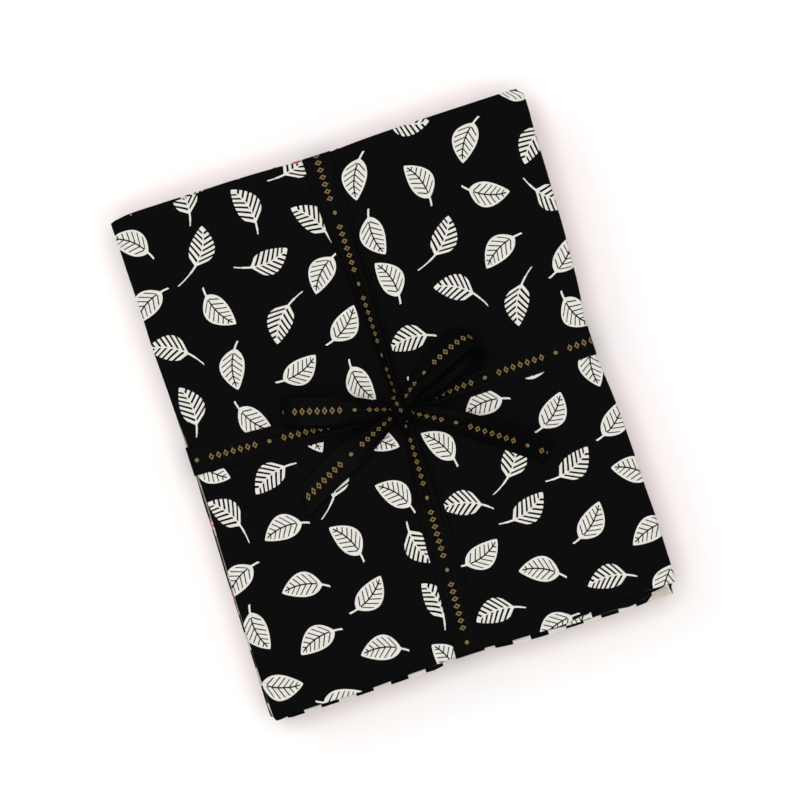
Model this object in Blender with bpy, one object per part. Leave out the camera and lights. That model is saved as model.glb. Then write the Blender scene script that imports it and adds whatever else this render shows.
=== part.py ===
"""A fat quarter bundle: folded quilting cottons in a stack, tied with one ribbon in a cross and a bow.

Each fat quarter is a cut of cotton, 18 by 22 inches, folded in half the long way and pressed, so that its
two plies lie together as one leaf, and then folded in half again round the bundle's right side. Its solid
is that back-and-forth section: a lower leaf, the round fold and an upper leaf, a little apart.
+X runs across the bundle to the folded side, +Y along it and +Z up. The bundle rests on z = 0, on the
lowest fat quarter and on the ribbon, which lies level with it in a shallow cross of grooves.
"""

import math
from collections import namedtuple

import bmesh
import bpy
from mathutils import Matrix, Vector

MM = 0.001
INCH = 25.4 * MM

# One fat quarter, folded twice.
CUT_WIDTH = 18 * INCH
CUT_LENGTH = 22 * INCH
FOLDED_WIDTH = CUT_WIDTH / 2
FOLDED_LENGTH = CUT_LENGTH / 2
LEAF = 1.1 * MM
GAP = 0.38 * MM
PIECE_HEIGHT = 2 * LEAF + GAP
PITCH = PIECE_HEIGHT + GAP
FOLD_STEPS = 4

# The ribbon, and how far it sinks the cloth.
RIBBON_WIDTH = 15.9 * MM
RIBBON_THICK = 1.0 * MM
CLEARANCE = 0.5 * MM
GROOVE_DEPTH = RIBBON_THICK + CLEARANCE
TOP_DIP = 2.0 * MM
CORNER_INNER_RADIUS = 1.0 * MM
CORNER_STEPS = 3

# Each run of the ribbon crosses the bundle a little askew: where its centre meets the bundle's two edges.
ALONG_X_AT_NEAR_EDGE = -3.0 * MM
ALONG_X_AT_FAR_EDGE = 1.4 * MM
ACROSS_Y_AT_LEFT_EDGE = 3.8 * MM
ACROSS_Y_AT_RIGHT_EDGE = -0.6 * MM

# How far the tied ribbon draws each edge of the stack in under it, and how fast that fades to either side.
Draw = namedtuple("Draw", "depth fade")
DRAWN_IN_LEFT = Draw(0.9 * MM, 32 * MM)
DRAWN_IN_RIGHT = Draw(4.65 * MM, 32 * MM)
DRAWN_IN_NEAR = Draw(1.3 * MM, 12 * MM)
DRAWN_IN_FAR = Draw(1.5 * MM, 20 * MM)
DRAW_FLAT = 10.5 * MM

# Lines of the cloth's surface on either side of a ribbon run: their distance from its centre, and the share
# of the groove under the stack and of the dip on top of it that the cloth has there.
Crease = namedtuple("Crease", "offset groove dip")
CREASES = (
    Crease(-45 * MM, 0.0, 0.0),
    Crease(-14 * MM, 0.0, 0.85),
    Crease(-10.5 * MM, 1.0, 1.0),
    Crease(10.5 * MM, 1.0, 1.0),
    Crease(14 * MM, 0.0, 0.85),
    Crease(45 * MM, 0.0, 0.0),
)
EDGE = Crease(0.0, 0.0, 0.0)

# The stack from the bottom up: how each folded piece lies in it (mm and degrees), how much further than the
# sides its ends are askew, what it is wide or long by, and its colour. Of the top two also: how much wider it is
# at its far end than at its near one, how far its near edge draws back towards the folded side, and how much
# more the ribbon draws in its near edge.
Piece = namedtuple("Piece", "shift_x shift_y turn askew wider longer colour spread draw_back held_in",
                   defaults=(0.0, 0.0, 0.0))
BLACK = (0.012, 0.012, 0.014)
CREAM = (0.80, 0.76, 0.68)
RED = (0.62, 0.04, 0.06)
PINK = (0.83, 0.28, 0.36)
ORANGE = (0.85, 0.30, 0.06)
MAGENTA = (0.66, 0.06, 0.24)
BLACK_AND_CREAM = (0.40, 0.38, 0.35)
PIECES = (
    Piece(-0.5, -0.6, 0.10, 0.0, -1.8, -0.6, BLACK),
    Piece(-1.0, 0.3, -0.12, 0.05, -1.8, 0.0, CREAM),
    Piece(-0.6, -0.2, 0.12, -0.10, -2.0, -1.0, RED),
    Piece(-0.8, 0.4, -0.08, 0.0, -1.6, -0.8, PINK),
    Piece(-0.6, -0.7, 0.15, 0.0, -1.8, 0.0, BLACK),
    Piece(-0.9, 0.0, -0.15, 0.10, -1.8, -0.8, ORANGE),
    Piece(-0.6, 0.4, 0.08, 0.0, -2.0, -0.4, CREAM),
    Piece(-0.8, -0.4, -0.10, 0.0, -1.6, -0.6, MAGENTA),
    Piece(-0.7, 0.2, 0.12, -0.08, -1.7, 0.0, PINK),
    Piece(-0.8, -0.1, -0.10, 0.08, -1.2, 0.2, RED),
    Piece(-0.6, 0.2, -0.25, 0.10, -1.2, 0.0, BLACK),
    Piece(-1.3, -2.05, -0.45, 0.11, -3.8, 1.2, BLACK_AND_CREAM, held_in=1.6),
    Piece(0.05, 0.0, -0.135, 0.135, 0.0, 0.6, BLACK, spread=4.0, draw_back=3.7),
)
DRAW_BACK_FROM = 20 * MM
DRAW_BACK_POWER = 3
RIBBON_COLOUR = (0.010, 0.010, 0.011)
COTTON_ROUGHNESS = 0.9
RIBBON_ROUGHNESS = 0.55

STACK_HEIGHT = len(PIECES) * PITCH - GAP
BAND_LEVEL = STACK_HEIGHT - TOP_DIP

# The ribbon's upper runs, from edge to edge: how far along, where its centre is, and its width there.
Run = namedtuple("Run", "along centre width")
ALONG_RUN = (
    Run(-111, -1.5, 15.9),
    Run(-52, 2.7, 15.0),
    Run(-16, 3.4, 12.0),
    Run(-4, 1.3, 10.5),
    Run(16, 1.0, 11.5),
    Run(60, 1.2, 15.0),
    Run(100, 1.3, 15.9),
)
ACROSS_RUN = (
    Run(-100, 3.4, 15.9),
    Run(-61, -0.4, 15.9),
    Run(-18, -2.6, 13.0),
    Run(1, -3.7, 10.5),
    Run(20, -2.9, 13.0),
    Run(55, -1.8, 15.9),
    Run(93, -0.3, 15.9),
)

# The bow: sections of each loop and tail from the knot outwards. x, y and the lift over the cloth give the
# middle of the ribbon, roll tips its left edge up, in degrees, and slant is how far its left edge runs ahead
# of its right one at a cut end. Left and right are as seen from the knot.
Section = namedtuple("Section", "x y lift width roll slant", defaults=(0.0, 0.0))
KNOT = (1.3, -3.7)
KNOT_SIZE = Vector((11.5, 15.0, 9.0)) * MM
KNOT_TURN_DEG = 12
SMOOTHING_STEPS = 3
LEFT_LOOP = (
    Section(-1.5, -2.8, 6.0, 8.0),
    Section(-9.0, -0.6, 7.6, 9.0),
    Section(-18.0, 2.2, 10.0, 12.5),
    Section(-31.0, 6.0, 12.2, 15.9, 4),
    Section(-45.0, 10.0, 12.8, 15.9, 4),
    Section(-53.0, 12.3, 11.6, 15.9, 2),
    Section(-57.2, 13.5, 9.3, 15.9),
    Section(-58.6, 13.7, 6.6, 15.9),
    Section(-56.5, 12.7, 4.2, 15.9),
    Section(-50.0, 10.3, 3.2, 15.9),
    Section(-36.0, 5.8, 2.9, 15.9),
    Section(-21.0, 1.6, 2.9, 13.0),
    Section(-9.0, -1.6, 3.2, 9.0),
    Section(-1.5, -3.2, 4.0, 8.0),
)
RIGHT_LOOP = (
    Section(3.5, -1.0, 6.5, 8.0, -20),
    Section(11.4, 5.4, 9.0, 10.0, -30),
    Section(20.1, 11.0, 11.6, 13.5, -35),
    Section(30.2, 16.2, 13.2, 15.9, -35),
    Section(40.0, 20.4, 13.0, 15.9, -34),
    Section(46.5, 21.8, 11.4, 15.9, -32),
    Section(50.4, 19.6, 8.4, 15.9, -28),
    Section(49.6, 16.0, 5.2, 15.9, -20),
    Section(44.5, 12.0, 3.6, 15.9, -12),
    Section(35.3, 7.4, 3.0, 14.5, -10),
    Section(24.0, 2.6, 2.9, 12.0, -8),
    Section(12.5, -1.0, 3.3, 9.0, -4),
    Section(3.5, -3.0, 4.0, 8.0),
)
LEFT_TAIL = (
    Section(0.0, -4.6, 4.6, 8.0),
    Section(-9.0, -8.6, 3.6, 9.5),
    Section(-20.0, -13.6, 2.6, 13.0),
    Section(-33.0, -19.6, 2.0, 15.9),
    Section(-48.0, -27.0, 1.7, 15.9),
    Section(-62.1, -34.4, 1.6, 15.9, 0, 10.0),
)
RIGHT_TAIL = (
    Section(3.0, -5.0, 4.6, 8.0),
    Section(10.0, -9.3, 5.0, 9.5, 10),
    Section(18.5, -14.2, 5.0, 12.0, 20),
    Section(29.5, -20.8, 5.6, 15.0, 30),
    Section(44.0, -31.0, 5.8, 15.9, 35),
    Section(57.0, -40.6, 5.6, 15.9, 35),
    Section(69.0, -49.9, 5.4, 15.9, 33, 1.0),
)


def clear_scene():
    """Removes every object, so that the model starts from an empty scene."""
    for thing in list(bpy.data.objects):
        bpy.data.objects.remove(thing, do_unlink=True)


def cloth_material(name, colour, roughness):
    """A plain woven finish in one colour."""
    material = bpy.data.materials.new(name)
    material.use_nodes = True
    shader = material.node_tree.nodes["Principled BSDF"]
    shader.inputs["Base Color"].default_value = (*colour, 1.0)
    shader.inputs["Roughness"].default_value = roughness
    shader.inputs["Metallic"].default_value = 0.0
    return material


def object_from(bm, name, material):
    """A named object holding the faces of bm, with its normals facing out."""
    bmesh.ops.recalc_face_normals(bm, faces=bm.faces)
    mesh = bpy.data.meshes.new(name)
    bm.to_mesh(mesh)
    bm.free()
    mesh.materials.append(material)
    thing = bpy.data.objects.new(name, mesh)
    bpy.context.scene.collection.objects.link(thing)
    return thing


def between(low, high, share):
    return low + (high - low) * share


def along_centre(y):
    """X of the middle of the run along the bundle, where it lies straight."""
    return between(ALONG_X_AT_NEAR_EDGE, ALONG_X_AT_FAR_EDGE, y / FOLDED_LENGTH + 0.5)


def across_centre(x):
    """Y of the middle of the run across the bundle, where it lies straight."""
    return between(ACROSS_Y_AT_LEFT_EDGE, ACROSS_Y_AT_RIGHT_EDGE, x / FOLDED_WIDTH + 0.5)


def drawn_in(draw, distance, held_in=0.0):
    """How far an edge is drawn in at a distance from the ribbon's centre."""
    return (draw.depth + held_in * MM) * math.exp(-max(abs(distance) - DRAW_FLAT, 0.0) / draw.fade)


# --- The folded fat quarters ---------------------------------------------------------------------------


def side_edge(piece, side, y):
    """X of a piece's left (side -1) or right (side 1) edge at y."""
    reach = (FOLDED_WIDTH + (piece.wider + piece.spread * y / FOLDED_LENGTH) * MM) / 2
    lean = -math.tan(math.radians(piece.turn)) * y
    draw = DRAWN_IN_RIGHT if side > 0 else DRAWN_IN_LEFT
    return piece.shift_x * MM + side * (reach - drawn_in(draw, y - across_centre(side * reach))) + lean


def end_edge(piece, side, x):
    """Y of a piece's near (side -1) or far (side 1) edge at x."""
    reach = (FOLDED_LENGTH + piece.longer * MM) / 2
    lean = math.tan(math.radians(piece.turn + piece.askew)) * x
    distance = x - along_centre(side * reach)
    depth = drawn_in(DRAWN_IN_FAR, distance) if side > 0 else drawn_in(DRAWN_IN_NEAR, distance, piece.held_in)
    if side < 0 and x > DRAW_BACK_FROM:
        towards_corner = (x - DRAW_BACK_FROM) / (FOLDED_WIDTH / 2 - DRAW_BACK_FROM)
        lean += piece.draw_back * MM * towards_corner**DRAW_BACK_POWER
    return piece.shift_y * MM + side * (reach - depth) + lean


def pressed(height, along_crease, across_crease):
    """The height that a level of the loose stack has once it is tied, where two creases cross."""
    low = GROOVE_DEPTH * max(along_crease.groove, across_crease.groove)
    high = STACK_HEIGHT - TOP_DIP * max(along_crease.dip, across_crease.dip)
    return between(low, high, height / STACK_HEIGHT)


def folded_section(piece, base, row_y, row_crease):
    """Two matching lines of points at one row: the outer and the inner face of the leaves and their fold."""
    fold_radius = PIECE_HEIGHT / 2

    def placed(x, height, crease, out=0.0):
        y = row_y(x)
        return Vector((x + out, y, pressed(base + height, crease, row_crease)))

    mid_y = row_y(0.0)
    columns = [(side_edge(piece, -1, mid_y), EDGE)]
    columns += [(along_centre(mid_y) + crease.offset, crease) for crease in CREASES]
    columns += [(side_edge(piece, 1, mid_y) - fold_radius, EDGE)]
    fold_x = columns[-1][0]
    outer = [placed(x, 0.0, crease) for x, crease in columns]
    inner = [placed(x, LEAF, crease) for x, crease in columns]
    for step in range(1, FOLD_STEPS):
        angle = math.pi * (step / FOLD_STEPS - 0.5)
        for line, radius in ((outer, fold_radius), (inner, GAP / 2)):
            height = fold_radius + radius * math.sin(angle)
            line.append(placed(fold_x, height, EDGE, out=radius * math.cos(angle)))
    outer += [placed(x, PIECE_HEIGHT, crease) for x, crease in reversed(columns)]
    inner += [placed(x, PIECE_HEIGHT - LEAF, crease) for x, crease in reversed(columns)]
    return outer, inner


def fat_quarter(index, piece):
    """One folded piece of the stack, as a swept section of its two leaves and their fold."""
    base = index * PITCH

    def edge_row(side):
        return lambda x: end_edge(piece, side, x)

    def crease_row(crease):
        return lambda x: across_centre(x) + crease.offset

    rows = [(edge_row(-1), EDGE)]
    rows += [(crease_row(crease), crease) for crease in CREASES]
    rows += [(edge_row(1), EDGE)]
    bm = bmesh.new()
    lines = []
    for row_y, row_crease in rows:
        section = folded_section(piece, base, row_y, row_crease)
        lines.append([[bm.verts.new(point) for point in line] for line in section])
    last = len(lines[0][0]) - 1
    for (outer_a, inner_a), (outer_b, inner_b) in zip(lines, lines[1:]):
        for at in range(last):
            # Both leaves are split along the same diagonal, so that they stay parallel where they bend.
            step = (at, at + 1) if at < last / 2 else (at + 1, at)
            for line_a, line_b in ((outer_a, outer_b), (inner_a, inner_b)):
                bm.faces.new((line_a[step[0]], line_a[step[1]], line_b[step[1]]))
                bm.faces.new((line_a[step[0]], line_b[step[1]], line_b[step[0]]))
        for end in (0, last):
            bm.faces.new((outer_a[end], outer_b[end], inner_b[end], inner_a[end]))
    for outer, inner in (lines[0], lines[-1]):
        for at in range(last):
            bm.faces.new((outer[at], inner[at], inner[at + 1], outer[at + 1]))
    name = f"fat_quarter_{index + 1:02d}"
    return object_from(bm, name, cloth_material(f"{name}_cotton", piece.colour, COTTON_ROUGHNESS))


# --- The ribbon ------------------------------------------------------------------------------------------


def strip(sections, closed):
    """A flat ribbon swept through sections of (middle, half its width as a vector, face normal)."""
    bm = bmesh.new()
    rings = []
    for middle, half, normal in sections:
        up = normal * RIBBON_THICK / 2
        corners = (middle - half - up, middle + half - up, middle + half + up, middle - half + up)
        rings.append([bm.verts.new(corner) for corner in corners])
    following = rings[1:] + (rings[:1] if closed else [])
    for ring, after in zip(rings, following):
        for at in range(4):
            turn = (at + 1) % 4
            bm.faces.new((ring[at], ring[turn], after[turn], after[at]))
    if not closed:
        bm.faces.new(rings[0])
        bm.faces.new(reversed(rings[-1]))
    return bm


def round_corner(centre_u, centre_z, start_deg):
    """Points and outward directions of a quarter turn round a stack edge, clockwise from start_deg."""
    radius = CORNER_INNER_RADIUS + RIBBON_THICK / 2
    for step in range(CORNER_STEPS + 1):
        angle = math.radians(start_deg - 90 * step / CORNER_STEPS)
        out = (math.cos(angle), math.sin(angle))
        yield centre_u + radius * out[0], centre_z + radius * out[1], out


def band(low_edge, high_edge, low_centre, high_centre, runs, to_world):
    """The ribbon once round the stack, in the plane of u (from edge to edge) and z.

    low_edge and high_edge are where its inner face turns down in u. to_world(u, sideways, z) gives a point.
    """
    low_u = low_edge + CORNER_INNER_RADIUS
    high_u = high_edge - CORNER_INNER_RADIUS
    top_z = BAND_LEVEL + CLEARANCE - CORNER_INNER_RADIUS
    bottom_z = RIBBON_THICK + CORNER_INNER_RADIUS
    half = RIBBON_WIDTH / 2

    def section(u, sideways, z, half_width, out):
        side = to_world(0, 1, 0) * half_width
        return to_world(u, sideways, z), side, to_world(out[0], 0, out[1])

    sections = []
    for u, z, out in round_corner(low_u, top_z, 180):
        sections.append(section(u, low_centre, z, half, out))
    for run in runs:
        z = BAND_LEVEL + CLEARANCE + RIBBON_THICK / 2
        sections.append(section(run.along * MM, run.centre * MM, z, run.width * MM / 2, (0.0, 1.0)))
    for u, z, out in round_corner(high_u, top_z, 90):
        sections.append(section(u, high_centre, z, half, out))
    for u, z, out in round_corner(high_u, bottom_z, 0):
        sections.append(section(u, high_centre, z, half, out))
    for u, z, out in round_corner(low_u, bottom_z, -90):
        sections.append(section(u, low_centre, z, half, out))
    return strip(sections, closed=True)


def cloth_level(x, y):
    """Height of the top of the tied stack at x, y."""

    def share(distance):
        lines = ((10.5 * MM, 1.0), (14 * MM, 0.85), (45 * MM, 0.0))
        for (near, more), (far, less) in zip(lines, lines[1:]):
            if distance < far:
                return between(more, less, max(distance - near, 0.0) / (far - near))
        return 0.0

    nearest = max(share(abs(x - along_centre(y))), share(abs(y - across_centre(x))))
    return STACK_HEIGHT - TOP_DIP * nearest


def smoothed(table):
    """The sections of a table with more put in between, on a smooth curve through all of them."""
    for at in range(len(table) - 1):
        before, start, end, after = (table[max(0, min(at + step, len(table) - 1))] for step in (-1, 0, 1, 2))
        for part in range(SMOOTHING_STEPS):
            t = part / SMOOTHING_STEPS
            weights = (
                (-t + 2 * t**2 - t**3) / 2,
                (2 - 5 * t**2 + 3 * t**3) / 2,
                (t + 4 * t**2 - 3 * t**3) / 2,
                (-(t**2) + t**3) / 2,
            )
            rows = zip(before, start, end, after)
            yield Section(*(sum(w * value for w, value in zip(weights, column)) for column in rows))
    yield table[-1]


def free_strip(name, table):
    """A loop or tail of the bow as an object, swept through its table of sections."""
    rows = list(smoothed(table))
    points = []
    for row in rows:
        x, y = row.x * MM, row.y * MM
        points.append(Vector((x, y, cloth_level(x, y) + row.lift * MM)))
    tip = max(points, key=lambda point: (point - points[0]).length)
    away = (tip - points[0]).to_2d().normalized()
    left = Vector((-away.y, away.x, 0.0))
    sections = []
    for at, row in enumerate(rows):
        roll = math.radians(row.roll)
        side = left * math.cos(roll) + Vector((0.0, 0.0, math.sin(roll)))
        travel = (points[min(at + 1, len(rows) - 1)] - points[max(at - 1, 0)]).normalized()
        slant = row.slant if at == len(rows) - 1 else 0.0
        half = (side * row.width + travel * slant) * MM / 2
        sections.append((points[at], half, travel.cross(side).normalized()))
    return object_from(strip(sections, closed=False), name, RIBBON_MATERIAL)


def knot():
    """The wrap of ribbon that the loops and tails come out of, as a small round pillow."""
    bm = bmesh.new()
    x, y = KNOT[0] * MM, KNOT[1] * MM
    centre = Vector((x, y, cloth_level(x, y) + CLEARANCE + KNOT_SIZE.z / 2))
    place = Matrix.Translation(centre) @ Matrix.Rotation(math.radians(KNOT_TURN_DEG), 4, "Z")
    place @= Matrix.Diagonal((*KNOT_SIZE, 1.0))
    bmesh.ops.create_icosphere(bm, subdivisions=2, radius=0.5, matrix=place)
    return object_from(bm, "ribbon_knot", RIBBON_MATERIAL)


def stack_reach(edge, side, centre):
    """How far out the stack goes on one side, over the stretch of its edge that the ribbon crosses."""
    return side * max(side * edge(piece, side, centre + crease.offset)
                      for piece in PIECES for crease in CREASES if crease.groove) + side * CLEARANCE


def along_band():
    """The ribbon's turn over the top and under the bundle from end to end."""
    near = stack_reach(end_edge, -1, ALONG_X_AT_NEAR_EDGE)
    far = stack_reach(end_edge, 1, ALONG_X_AT_FAR_EDGE)
    turns = band(near, far, ALONG_X_AT_NEAR_EDGE, ALONG_X_AT_FAR_EDGE, ALONG_RUN,
                 lambda u, sideways, z: Vector((sideways, u, z)))
    return object_from(turns, "ribbon", RIBBON_MATERIAL)


def across_band():
    """The ribbon's turn over the top and under the bundle from side to side."""
    left = stack_reach(side_edge, -1, ACROSS_Y_AT_LEFT_EDGE)
    right = stack_reach(side_edge, 1, ACROSS_Y_AT_RIGHT_EDGE)
    turns = band(left, right, ACROSS_Y_AT_LEFT_EDGE, ACROSS_Y_AT_RIGHT_EDGE, ACROSS_RUN,
                 lambda u, sideways, z: Vector((u, sideways, z)))
    return object_from(turns, "ribbon_across", RIBBON_MATERIAL)


def tied_ribbon():
    """The whole ribbon: both turns round the bundle, the knot, two loops and two cut tails, as one solid."""
    ribbon = along_band()
    joined = [across_band(), knot()]
    joined.append(free_strip("ribbon_left_loop", LEFT_LOOP))
    joined.append(free_strip("ribbon_right_loop", RIGHT_LOOP))
    joined.append(free_strip("ribbon_left_tail", LEFT_TAIL))
    joined.append(free_strip("ribbon_right_tail", RIGHT_TAIL))
    for other in joined:
        other.hide_render = True
        other.display_type = "WIRE"
        join = ribbon.modifiers.new(other.name, "BOOLEAN")
        join.operation = "UNION"
        join.solver = "EXACT"
        join.object = other
    return [ribbon, *joined]


def centre_on_footprint(things):
    """Hangs everything on one empty that puts the middle of the bundle's footprint at the origin."""
    corners = [thing.matrix_world @ Vector(corner) for thing in things for corner in thing.bound_box]
    bundle = bpy.data.objects.new("bundle", None)
    bundle.location.x = -(min(c.x for c in corners) + max(c.x for c in corners)) / 2
    bundle.location.y = -(min(c.y for c in corners) + max(c.y for c in corners)) / 2
    bpy.context.scene.collection.objects.link(bundle)
    for thing in things:
        thing.parent = bundle


clear_scene()
RIBBON_MATERIAL = cloth_material("ribbon_satin", RIBBON_COLOUR, RIBBON_ROUGHNESS)
centre_on_footprint([fat_quarter(index, piece) for index, piece in enumerate(PIECES)] + tied_ribbon())
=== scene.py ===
"""The looks of a fat quarter bundle: folded quilting cottons in a stack, tied with one printed ribbon.

The script follows the bundle as it is put together: the folded cottons from the bottom up, then the ribbon,
and last the floor, the light and the camera. Sizes are in metres, but for the plain numbers of tables and
prints, which are in millimetres and marked so.
"""

import math
from collections import namedtuple

import bpy
import numpy as np
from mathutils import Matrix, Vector


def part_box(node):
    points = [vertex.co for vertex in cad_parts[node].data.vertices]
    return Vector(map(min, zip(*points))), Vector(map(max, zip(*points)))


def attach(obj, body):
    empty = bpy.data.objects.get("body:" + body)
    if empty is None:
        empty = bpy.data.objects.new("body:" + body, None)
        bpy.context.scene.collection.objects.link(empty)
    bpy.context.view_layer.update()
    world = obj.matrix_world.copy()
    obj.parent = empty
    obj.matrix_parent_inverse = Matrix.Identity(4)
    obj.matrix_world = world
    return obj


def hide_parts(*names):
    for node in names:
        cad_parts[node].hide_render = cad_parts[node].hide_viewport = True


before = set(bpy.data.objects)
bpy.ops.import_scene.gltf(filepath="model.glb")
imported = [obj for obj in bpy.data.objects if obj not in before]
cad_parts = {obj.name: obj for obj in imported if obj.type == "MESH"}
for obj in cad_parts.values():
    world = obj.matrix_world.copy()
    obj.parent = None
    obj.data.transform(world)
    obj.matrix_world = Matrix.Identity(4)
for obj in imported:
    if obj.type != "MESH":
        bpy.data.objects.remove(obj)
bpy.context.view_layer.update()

# --- The folded cloth of the fat quarters ---------------------------------------------------------------
# A fat quarter is a cut of quilting cotton, 18 by 22 inches. It is folded in half the long way and pressed,
# and then in half again round the bundle's right side, so that four plies lie on each other. The tied
# ribbon sinks the stack of thirteen along a cross and draws its edges in.

MM = 0.001
INCH = 25.4 * MM
CUT_WIDTH = 18 * INCH
CUT_LENGTH = 22 * INCH
FOLDED_WIDTH = CUT_WIDTH / 2
FOLDED_LENGTH = CUT_LENGTH / 2
PLY = 0.45 * MM
PIECE_HEIGHT = 2.58 * MM
PITCH = 2.96 * MM
PLY_SPACING = 0.61 * MM
HAIRPIN = PLY_SPACING / 2
FOLD_RADIUS = 0.74 * MM
STACK_COUNT = 13
STACK_HEIGHT = STACK_COUNT * PITCH - (PITCH - PIECE_HEIGHT)

ALONG_X_AT_NEAR_EDGE = -3.1 * MM
ALONG_X_AT_FAR_EDGE = 0.2 * MM
ACROSS_Y_AT_LEFT_EDGE = 3.8 * MM
ACROSS_Y_AT_RIGHT_EDGE = -0.1 * MM
TOP_DIP = 2.0 * MM
DIP_FLAT = 7 * MM
DIP_FADE = 20 * MM
DIP_FADE_POWER = 1.6
GROOVE_DEPTH = 0.7 * MM
GROOVE_REACH = 10.5 * MM
GROOVE_FADE = 1.6 * MM
Draw = namedtuple("Draw", "depth fade")
DRAWN_IN_LEFT = Draw(0.9 * MM, 32 * MM)
DRAWN_IN_RIGHT = Draw(4.65 * MM, 32 * MM)
DRAWN_IN_NEAR = Draw(1.3 * MM, 12 * MM)
DRAWN_IN_FAR = Draw(1.5 * MM, 20 * MM)
DRAW_FLAT = 10.5 * MM
DRAW_BACK_FROM = 20 * MM
DRAW_BACK_POWER = 3

# How each folded piece lies in the stack (mm and degrees): its shift, its turn, how much further than its
# sides its ends are askew, and how much wider and longer it is than a folded cut. Of the top two also: how
# much wider it is at its far end, how far its near edge draws back at the fold, and how much more the ribbon
# draws that edge in.
Lie = namedtuple("Lie", "shift_x shift_y turn askew wider longer spread draw_back held_in",
                 defaults=(0.0, 0.0, 0.0))
LIES = (
    Lie(-0.5, -0.6, 0.10, 0.0, -1.8, -0.6),
    Lie(-1.0, 0.3, -0.12, 0.05, -1.8, 0.0),
    Lie(-0.6, -0.2, 0.12, -0.10, -2.0, -1.0),
    Lie(-0.8, 0.4, -0.08, 0.0, -1.6, -0.8),
    Lie(-0.6, -0.7, 0.15, 0.0, -1.8, 0.0),
    Lie(-0.9, 0.0, -0.15, 0.10, -1.8, -0.8),
    Lie(-0.6, 0.4, 0.08, 0.0, -2.0, -0.4),
    Lie(-0.8, -0.4, -0.10, 0.0, -1.6, -0.6),
    Lie(-0.7, 0.2, 0.12, -0.08, -1.7, 0.0),
    Lie(-0.8, -0.1, -0.10, 0.08, -1.2, 0.2),
    Lie(-0.6, 0.2, -0.25, 0.10, -1.2, 0.0),
    Lie(-1.3, -2.05, -0.45, 0.11, -3.8, 1.2, held_in=1.6),
    Lie(0.05, 0.0, -0.135, 0.135, 0.0, 0.6, spread=4.0, draw_back=3.7),
)

# Plies that reach out past the others or hold back (mm): of which pieces, first to last, which leaf of them
# (upper 1, lower -1, both 0) and which ply of the leaf (inner 1, outer -1, both 0), at which edge, round
# which place along it and how far to either side, and how far out.
Reach = namedtuple("Reach", "first last upper inner edge place width out")
REACHES = [Reach(*row) for row in (
    (1, 13, 0, 1, "left", 0, 400, -1.0),
    (1, 13, 0, 0, "left", 0, 400, 0.4),
    (1, 11, 0, 0, "left", 75, 40, -0.5),
    (1, 10, 0, 0, "left", -50, 80, -0.4),
    (11, 11, 1, 1, "left", 0, 200, -0.6),
    (12, 12, 0, 0, "left", -20, 50, -1.0),
    (13, 13, -1, 0, "left", 0, 200, -1.0),
    (13, 13, 1, 1, "left", -30, 35, -0.6),
    (13, 13, 1, 1, "left", 80, 50, -0.8),
    (13, 13, 1, -1, "left", -22, 46, -1.1),
    (13, 13, 1, -1, "left", -20, 120, -0.3),
    (1, 13, 0, 0, "left", -143.5, 4, -2.0),
    (12, 13, 0, 0, "near", -95, 50, 0.6),
    (12, 12, 0, 0, "near", -114, 7, -1.2),
    (13, 13, 0, 0, "near", -113, 7, 1.0),
    (13, 13, 1, 0, "near", 80, 25, -2.0),
    (13, 13, -1, 0, "near", 70, 26, 1.5),
    (13, 13, -1, 0, "near", 88, 8, 1.6),
    (12, 12, 0, 1, "near", 0, 300, -0.7),
    (12, 12, -1, 0, "near", 0, 300, -0.7),
    (12, 12, 0, 0, "near", -21, 8.5, 1.3),
    (12, 12, 1, -1, "near", 103, 6.5, -7.0),
    (1, 11, 0, 0, "right", -143, 5.5, -3.8),
    (9, 10, 0, 0, "right", -140, 25, -0.8),
    (13, 13, 0, 0, "right", -115, 25, 0.5),
    (1, 13, 0, 0, "right", 142, 4.5, -3.2),
    (1, 13, 0, 0, "right", 130, 7, 0.3),
    (1, 13, 0, 0, "far", -118, 11, -1.3),
    (1, 13, 0, 0, "far", -116.5, 3, -1.0),
    (13, 13, 1, 0, "far", -85, 22, -1.3),
    (1, 12, 0, 0, "far", 0, 200, -0.4),
    (7, 7, 0, 0, "far", -22, 3.5, 1.8),
    (10, 10, 0, 0, "far", -10.7, 3, 1.7),
    (10, 10, 0, 0, "far", 11.2, 2.6, 1.5),
    (11, 13, 0, 0, "far", -10.7, 3, -0.5),
)]

# Soft creases that the tying leaves in the stack's top (mm): from where to where, how wide and how deep. A
# negative depth is a ridge.
Crease = namedtuple("Crease", "x0 y0 x1 y1 width depth")
CREASES = [Crease(*row) for row in (
    (6, -14, 44, -62, 7, 0.55),
    (-8, -13, -40, -47, 8, 0.40),
    (-10, 12, -48, 60, 9, 0.50),
    (12, 14, 52, 66, 8, 0.45),
    (96, 12, 58, 34, 5, 0.50),
    (100, -12, 66, -30, 5, 0.55),
    (-104, 14, -70, 30, 6, 0.30),
    (-103, -10, -72, -28, 6, -0.25),
    (-14, -120, -30, -86, 6, 0.40),
    (10, -124, 25, -92, 5, -0.30),
    (14, 122, 30, 92, 6, 0.30),
    (-16, 121, -34, 96, 6, 0.25),
    (-92, 96, -38, 112, 10, -0.35),
    (40, -112, 96, -96, 9, -0.40),
)]
CREASE_START = 0.12
CREASE_TAPER = 0.7
CREASE_NARROW_END = 0.5
CREASE_WIDE_END = 1.3
CREASE_END_FADE = 6 * MM
WAVE_DEPTH = 0.35 * MM
WAVE_LENGTH_ACROSS = 150 * MM
WAVE_LENGTH_ALONG = 190 * MM
EDGE_SLUMP = 0.45 * MM
EDGE_SLUMP_UNDER_RIBBON = 0.9 * MM
SLUMP_FADE = 5 * MM
SLUMP_POWER = 4
EDGE_RIPPLE = 0.12 * MM
EDGE_RIPPLE_LENGTH = 62 * MM
FOLD_RIPPLE_LENGTH = 1.6 * EDGE_RIPPLE_LENGTH
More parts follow.
